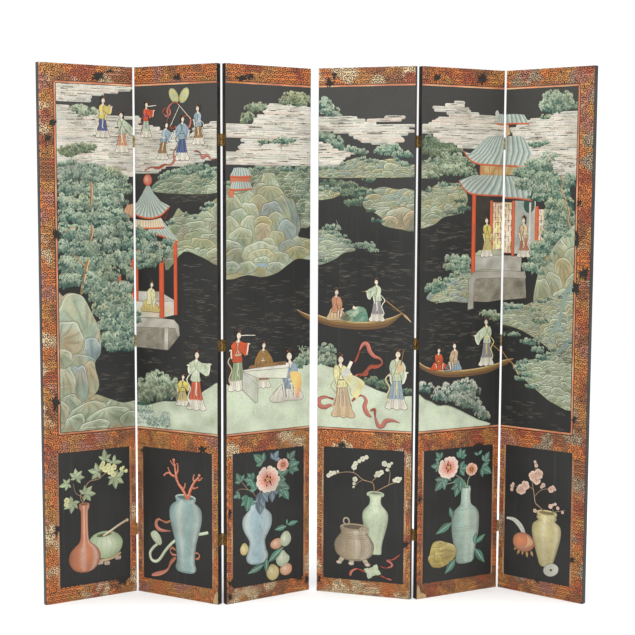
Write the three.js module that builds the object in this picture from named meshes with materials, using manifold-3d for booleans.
// A folding lacquer screen of six tall panels. It stands as two free sections of three panels, set side by
// side so that their painted faces read as one picture. Each panel is a softwood board with a coat of gesso
// and lacquer on either face. Brass butt hinges, let into the panel edges, join the panels of a section:
// at a fold that points away from the viewer the pins lie before the painted faces, and at a fold that
// points towards the viewer they lie behind the backs, so that a section folds up like an accordion.
//
// Millimetres and degrees. +X to the viewer's right, +Y away from the viewer, +Z up. The origin is on the
// floor, under the middle of the screen as it stands.

import * as THREE from "three";
import { mergeVertices } from "three/addons/utils/BufferGeometryUtils.js";
import Module from "manifold-3d";

const wasm = await Module();
wasm.setup();

// ---- Panels ----
const PANEL_HEIGHT = 2134;
const PANEL_WIDTH = 400;
const BOARD_THICKNESS = 20;
const COAT_THICKNESS = 2.2; // gesso and lacquer on one face of the board
const SEAT_GAP = 0.3; // left between two solids that touch
const EDGE_EASE = 1; // the chamfer down the long corners of a coat
const END_EASE = 1.5; // the chamfer along the top and the foot of the board

// ---- Layout of the painted face ----
const OUTER_BORDER = 62; // down the two outermost panel edges of the screen
const INNER_BORDER = 31; // down the other edges, beside the lower picture only
const FOOT_BORDER = 62;
const LOWER_PICTURE_HEIGHT = 544;
const MIDDLE_BAND = 84; // between the lower and the upper picture, lines included
const TOP_BORDER = 77; // over the upper picture, lines included
const LINE_OFFSET = 10; // from the upper picture's edge out to its scored line
const UPPER_LINE_WIDTH = 3;
const LOWER_LINE_WIDTH = 2;
const LINE_DEPTH = 0.6;

// ---- Hinges ----
const LEAF_HEIGHT = 46;
const LEAF_THICKNESS = 1.2;
const LEAF_STOP = 5; // the leaf ends this far short of the panel's other face
const PIN_RADIUS = 1.5;
const PIN_CLEARANCE = 0.3;
const PIN_HEAD_STEP = 0.4; // the pin's head is this much smaller in radius than the barrel
const PIN_HEAD_HEIGHT = 1.4;
const KNUCKLES = 5;
const KNUCKLE_GAP = 0.3;
const SCREW_FROM_END = 9; // a screw hole's middle from the leaf's end
const SCREW_STAGGER = 5; // the upper screw stands this much nearer the pin
const SCREW_HEAD_RADIUS = 2.9;
const SCREW_SHANK_RADIUS = 1.6;
const LOW_HINGE_FROM_FOOT = 262; // each to the hinge's middle
const TOP_HINGE_FROM_TOP = 292;
const MIDDLE_HINGE_DROP = 27; // below the middle of the panel's height

const BARREL_SIDES = 14;
const BORE_SIDES = 10;
const SCREW_SIDES = 8;

// ---- How the screen stands ----
// Each section's panels from left to right: the turn of each about the vertical, and whether each fold
// between them points away from the viewer, which puts the pins in front.
const SECTIONS = [
  { turns: [33.5, -30.5, 35], foldsAway: [true, false] },
  { turns: [-18.5, 29.5, -39.5], foldsAway: [false, true] },
];
const SECTION_GAP = 31; // between the facing corners of the two sections
const SECTION_STEP = -17; // the right section's corner stands nearer the viewer by this much

// ---- Sizes that follow ----
const COAT_SETBACK = BOARD_THICKNESS / 2 + SEAT_GAP; // from the board's middle to a coat's inner face
const HALF_THICKNESS = COAT_SETBACK + COAT_THICKNESS; // of the whole panel
const BORE_RADIUS = PIN_RADIUS + PIN_CLEARANCE;
const BARREL_RADIUS = BORE_RADIUS + LEAF_THICKNESS; // the leaf is rolled round the pin
const FOLD_GAP = 2 * BORE_RADIUS; // between two panel edges, opened flat
const PIN_SETBACK = HALF_THICKNESS + BARREL_RADIUS; // from the board's middle plane to a pin's axis
const LEAF_WIDTH = 2 * HALF_THICKNESS - LEAF_STOP;
const PIN_HEAD_RADIUS = BARREL_RADIUS - PIN_HEAD_STEP;
const KNUCKLE_HEIGHT = (LEAF_HEIGHT - (KNUCKLES - 1) * KNUCKLE_GAP) / KNUCKLES;
const LOWER_PICTURE_TOP = FOOT_BORDER + LOWER_PICTURE_HEIGHT;
const UPPER_PICTURE_FOOT = LOWER_PICTURE_TOP + MIDDLE_BAND;
const UPPER_PICTURE_TOP = PANEL_HEIGHT - TOP_BORDER;
const HINGE_HEIGHTS = {
  low: LOW_HINGE_FROM_FOOT,
  middle: PANEL_HEIGHT / 2 - MIDDLE_HINGE_DROP,
  top: PANEL_HEIGHT - TOP_HINGE_FROM_TOP,
};
const OVERRUN = 5; // how far a cutter reaches past what it cuts

// ---- Finishes ----
const blackLacquer = new THREE.MeshStandardMaterial({
  color: 0x2b2a28,
  roughness: 0.38,
});
const blackEdge = new THREE.MeshStandardMaterial({
  color: 0x171513,
  roughness: 0.45,
});
const backLacquer = new THREE.MeshStandardMaterial({
  color: 0x1f1d1b,
  roughness: 0.42,
});
const agedBrass = new THREE.MeshStandardMaterial({
  color: 0x8a6f35,
  roughness: 0.42,
  metalness: 0.9,
});
const darkBrass = new THREE.MeshStandardMaterial({
  color: 0x4a3d24,
  roughness: 0.5,
  metalness: 0.85,
});

// ---- Solid helpers ----

// A closed three.js geometry as a solid that can be joined and cut.
function solidOf(geometry) {
  const bare = geometry.clone();
  bare.deleteAttribute("normal");
  bare.deleteAttribute("uv");
  const merged = mergeVertices(bare, 1e-4);
  const mesh = new wasm.Mesh({
    numProp: 3,
    vertProperties: merged.attributes.position.array,
    triVerts: new Uint32Array(merged.index.array),
  });
  return new wasm.Manifold(mesh);
}

// A solid as a geometry to show.
function geometryOf(solid) {
  const { vertProperties, triVerts } = solid.getMesh();
  const geometry = new THREE.BufferGeometry();
  geometry.setAttribute("position", new THREE.BufferAttribute(vertProperties, 3));
  geometry.setIndex(new THREE.BufferAttribute(triVerts, 1));
  geometry.computeVertexNormals();
  return geometry;
}

// A box between two corners.
function block([x0, y0, z0], [x1, y1, z1]) {
  const geometry = new THREE.BoxGeometry(x1 - x0, y1 - y0, z1 - z0);
  return solidOf(geometry.translate((x0 + x1) / 2, (y0 + y1) / 2, (z0 + z1) / 2));
}

// An upright round bar about an axis at x 0, y 0.
function upright(radius, low, high, sides) {
  const geometry = new THREE.CylinderGeometry(radius, radius, high - low, sides);
  return solidOf(geometry.rotateX(Math.PI / 2).translate(0, 0, (low + high) / 2));
}

// A plan outline raised from one height to another.
function raised(points, low, high) {
  const outline = new THREE.Shape(points.map(([x, y]) => new THREE.Vector2(x, y)));
  const geometry = new THREE.ExtrudeGeometry(outline, { depth: high - low, bevelEnabled: false });
  return solidOf(geometry.translate(0, 0, low));
}

// ---- Panels: x from the left edge, y from the board's middle plane, z from the foot ----

// A rectangular frame of one line's width around a picture, cut into the painted face.
function scoredFrame({ left, right, foot, top }, width) {
  const faceY = -HALF_THICKNESS;
  const outside = block(
    [left - width, faceY - OVERRUN, foot - width],
    [right + width, faceY + LINE_DEPTH, top + width],
  );
  const inside = block([left, faceY - 2 * OVERRUN, foot], [right, faceY + OVERRUN, top]);
  return outside.subtract(inside);
}

// The two pictures on a panel. The upper one runs off a panel at every edge but the screen's own two.
function picturesOf(isFirst, isLast) {
  const past = 2 * (OVERRUN + LINE_OFFSET);
  return {
    upper: {
      left: isFirst ? OUTER_BORDER + LINE_OFFSET : -past,
      right: isLast ? PANEL_WIDTH - OUTER_BORDER - LINE_OFFSET : PANEL_WIDTH + past,
      foot: UPPER_PICTURE_FOOT,
      top: UPPER_PICTURE_TOP,
    },
    lower: {
      left: isFirst ? OUTER_BORDER : INNER_BORDER,
      right: PANEL_WIDTH - (isLast ? OUTER_BORDER : INNER_BORDER),
      foot: FOOT_BORDER,
      top: LOWER_PICTURE_TOP,
    },
  };
}

// Grows a picture's rectangle by a margin on every side.
function grown({ left, right, foot, top }, margin) {
  return { left: left - margin, right: right + margin, foot: foot - margin, top: top + margin };
}

// The softwood board, with its end corners eased.
function boardSolid() {
  const half = BOARD_THICKNESS / 2;
  const profile = [
    [-half, END_EASE],
    [END_EASE - half, 0],
    [half - END_EASE, 0],
    [half, END_EASE],
    [half, PANEL_HEIGHT - END_EASE],
    [half - END_EASE, PANEL_HEIGHT],
    [END_EASE - half, PANEL_HEIGHT],
    [-half, PANEL_HEIGHT - END_EASE],
  ];
  // Raised along z, then laid over so that the profile's y becomes z and its height becomes x.
  return raised(profile, 0, PANEL_WIDTH).rotate([90, 0, 90]);
}

// A coat of gesso and lacquer. side is -1 for the painted face and 1 for the back.
function coatSolid(side) {
  const outer = side * HALF_THICKNESS;
  const shoulder = outer - side * EDGE_EASE;
  const inner = side * COAT_SETBACK;
  const outline = [
    [0, inner],
    [0, shoulder],
    [EDGE_EASE, outer],
    [PANEL_WIDTH - EDGE_EASE, outer],
    [PANEL_WIDTH, shoulder],
    [PANEL_WIDTH, inner],
  ];
  if (side > 0) outline.reverse();
  return raised(outline, 0, PANEL_HEIGHT);
}

// The painted coat, with the lines that frame its pictures scored into it.
function paintedCoatSolid(isFirst, isLast) {
  const { upper, lower } = picturesOf(isFirst, isLast);
  return coatSolid(-1)
    .subtract(scoredFrame(grown(upper, LINE_OFFSET), UPPER_LINE_WIDTH))
    .subtract(scoredFrame(upper, LOWER_LINE_WIDTH))
    .subtract(scoredFrame(lower, LOWER_LINE_WIDTH));
}

// The recess for a hinge leaf in a panel edge. edge is -1 at the left and 1 at the right, and pinSide is
// -1 where the pin stands before the painted face and 1 where it stands behind the back.
function mortise(edge, pinSide, height) {
  const edgeX = edge < 0 ? 0 : PANEL_WIDTH;
  const floorX = edgeX - edge * (LEAF_THICKNESS + SEAT_GAP);
  const outX = edgeX + edge * OVERRUN;
  const openY = pinSide * (HALF_THICKNESS + OVERRUN);
  const endY = pinSide * (HALF_THICKNESS - LEAF_WIDTH - SEAT_GAP);
  const halfHeight = LEAF_HEIGHT / 2 + SEAT_GAP;
  return block(
    [Math.min(floorX, outX), Math.min(openY, endY), height - halfHeight],
    [Math.max(floorX, outX), Math.max(openY, endY), height + halfHeight],
  );
}

// ---- Hinges: x across the fold, y from the pin's axis into the panels, z from the hinge's middle ----

// A countersunk hole in a leaf that lies on the +x side of the pin. end is -1 for the lower of the two
// and 1 for the upper.
function screwHole(end) {
  const y = BARREL_RADIUS + (LEAF_WIDTH - end * SCREW_STAGGER) / 2;
  const z = end * (LEAF_HEIGHT / 2 - SCREW_FROM_END);
  const slope = (SCREW_HEAD_RADIUS - SCREW_SHANK_RADIUS) / LEAF_THICKNESS;
  const reach = LEAF_THICKNESS * 0.4; // the cone runs on past both faces of the leaf
  const cone = new THREE.CylinderGeometry(
    SCREW_SHANK_RADIUS - slope * reach,
    SCREW_HEAD_RADIUS + slope * reach,
    LEAF_THICKNESS + 2 * reach,
    SCREW_SIDES,
  );
  const middleX = FOLD_GAP / 2 + LEAF_THICKNESS / 2;
  return solidOf(cone.rotateZ(-Math.PI / 2).translate(middleX, y, z));
}

// A leaf on the +x side of the pin, rolled round the pin at its own knuckles: the even or the odd ones.
function leafSolid(firstKnuckle) {
  const inX = FOLD_GAP / 2;
  const outX = inX + LEAF_THICKNESS;
  let leaf = block(
    [inX, BARREL_RADIUS, -LEAF_HEIGHT / 2],
    [outX, BARREL_RADIUS + LEAF_WIDTH, LEAF_HEIGHT / 2],
  );
  for (let knuckle = firstKnuckle; knuckle < KNUCKLES; knuckle += 2) {
    const low = knuckle * (KNUCKLE_HEIGHT + KNUCKLE_GAP) - LEAF_HEIGHT / 2;
    const high = low + KNUCKLE_HEIGHT;
    leaf = leaf
      .add(upright(BARREL_RADIUS, low, high, BARREL_SIDES))
      .add(block([inX, 0, low], [outX, BARREL_RADIUS + 1, high]));
  }
  const bore = upright(BORE_RADIUS, -LEAF_HEIGHT, LEAF_HEIGHT, BORE_SIDES);
  return leaf.subtract(bore).subtract(screwHole(-1)).subtract(screwHole(1));
}

// The pin, with a domed head at either end over the outermost knuckles.
function pinGeometry() {
  const shank = LEAF_HEIGHT / 2 + SEAT_GAP;
  const tip = shank + PIN_HEAD_HEIGHT;
  const shoulder = shank + PIN_HEAD_HEIGHT / 2;
  const profile = [
    [0, -tip],
    [PIN_HEAD_RADIUS * 0.6, -tip],
    [PIN_HEAD_RADIUS, -shoulder],
    [PIN_HEAD_RADIUS, -shank],
    [PIN_RADIUS, -shank],
    [PIN_RADIUS, shank],
    [PIN_HEAD_RADIUS, shank],
    [PIN_HEAD_RADIUS, shoulder],
    [PIN_HEAD_RADIUS * 0.6, tip],
    [0, tip],
  ];
  const points = profile.map(([radius, height]) => new THREE.Vector2(radius, height));
  return new THREE.LatheGeometry(points, BORE_SIDES).rotateX(Math.PI / 2);
}

const leafShapes = { even: leafSolid(0), odd: leafSolid(1) };
const pinShape = pinGeometry();

function named(name, geometry, material) {
  const mesh = new THREE.Mesh(geometry, material);
  mesh.name = name;
  return mesh;
}

// A leaf in its place on a panel. The left panel of a fold carries the even knuckles and the pin.
function leafMesh(name, edge, pinSide, height) {
  const shape = edge > 0 ? leafShapes.even : leafShapes.odd;
  // The leaf is made for a panel on the +x side with the pin in front: mirrored in x for a right-hand
  // edge and in y for a pin behind, each mirror being exact.
  const placed = shape.scale([-edge, -pinSide, 1]);
  const x = edge < 0 ? -FOLD_GAP / 2 : PANEL_WIDTH + FOLD_GAP / 2;
  return named(name, geometryOf(placed.translate([x, pinSide * PIN_SETBACK, height])), agedBrass);
}

function pinMesh(name, pinSide, height) {
  const pin = named(name, pinShape.clone(), darkBrass);
  pin.position.set(PANEL_WIDTH + FOLD_GAP / 2, pinSide * PIN_SETBACK, height);
  return pin;
}

// ---- A whole panel, and the folds that it shares with its neighbours ----

// A fold is { name, away }, or null where the panel has no neighbour of its own section.
function panelGroup(number, { isFirst, isLast, leftFold, rightFold }) {
  const panel = new THREE.Group();
  let board = boardSolid();
  let painted = paintedCoatSolid(isFirst, isLast);
  let back = coatSolid(1);
  for (const [fold, edge] of [[leftFold, -1], [rightFold, 1]]) {
    if (!fold) continue;
    const pinSide = fold.away ? -1 : 1;
    const handSide = edge > 0 ? "left" : "right";
    for (const [level, height] of Object.entries(HINGE_HEIGHTS)) {
      const recess = mortise(edge, pinSide, height);
      board = board.subtract(recess);
      painted = painted.subtract(recess);
      back = back.subtract(recess);
      panel.add(leafMesh(`${fold.name}_${level}_${handSide}_leaf`, edge, pinSide, height));
      if (edge > 0) panel.add(pinMesh(`${fold.name}_${level}_pin`, pinSide, height));
    }
  }
  panel.add(named(`panel_${number}_board`, geometryOf(board), blackEdge));
  panel.add(named(`panel_${number}_painted_coat`, geometryOf(painted), blackLacquer));
  panel.add(named(`panel_${number}_back_coat`, geometryOf(back), backLacquer));
  return panel;
}

// Where a fold's pin stands in a panel's own frame.
function pinPlace(fold, edge) {
  const x = edge < 0 ? -FOLD_GAP / 2 : PANEL_WIDTH + FOLD_GAP / 2;
  return new THREE.Vector3(x, (fold.away ? -1 : 1) * PIN_SETBACK, 0);
}

// Turns a panel about the vertical and sets one of its points over a point of the floor.
function stand(panel, turn, ownPoint, floorPoint) {
  panel.rotation.z = THREE.MathUtils.degToRad(turn);
  const reach = ownPoint.clone().applyEuler(panel.rotation);
  panel.position.copy(floorPoint).sub(reach);
  panel.updateMatrix();
}

const screen = new THREE.Group();
const lastNumber = SECTIONS.reduce((sum, section) => sum + section.turns.length, 0);
const leftCorner = new THREE.Vector3(0, -HALF_THICKNESS, 0);
const rightCorner = new THREE.Vector3(PANEL_WIDTH, -HALF_THICKNESS, 0);
let number = 0;
let corner = new THREE.Vector3();

for (const { turns, foldsAway } of SECTIONS) {
  const folds = foldsAway.map((away, i) => ({ name: `fold_${number + i + 1}_${number + i + 2}`, away }));
  let before = null;
  turns.forEach((turn, i) => {
    number += 1;
    const leftFold = folds[i - 1] ?? null;
    const rightFold = folds[i] ?? null;
    const isFirst = number === 1;
    const isLast = number === lastNumber;
    const panel = panelGroup(number, { isFirst, isLast, leftFold, rightFold });
    if (before) {
      const pin = pinPlace(leftFold, 1).applyMatrix4(before.matrix);
      stand(panel, turn, pinPlace(leftFold, -1), pin);
    } else {
      stand(panel, turn, leftCorner, corner);
    }
    screen.add(panel);
    before = panel;
  });
  corner = rightCorner.clone().applyMatrix4(before.matrix).add(new THREE.Vector3(SECTION_GAP, SECTION_STEP, 0));
}

// The origin goes under the middle of the screen.
screen.updateMatrixWorld(true);
const reach = new THREE.Box3().setFromObject(screen, true).getCenter(new THREE.Vector3());
screen.children.forEach((panel) => panel.position.sub(new THREE.Vector3(reach.x, reach.y, 0)));

export default screen;
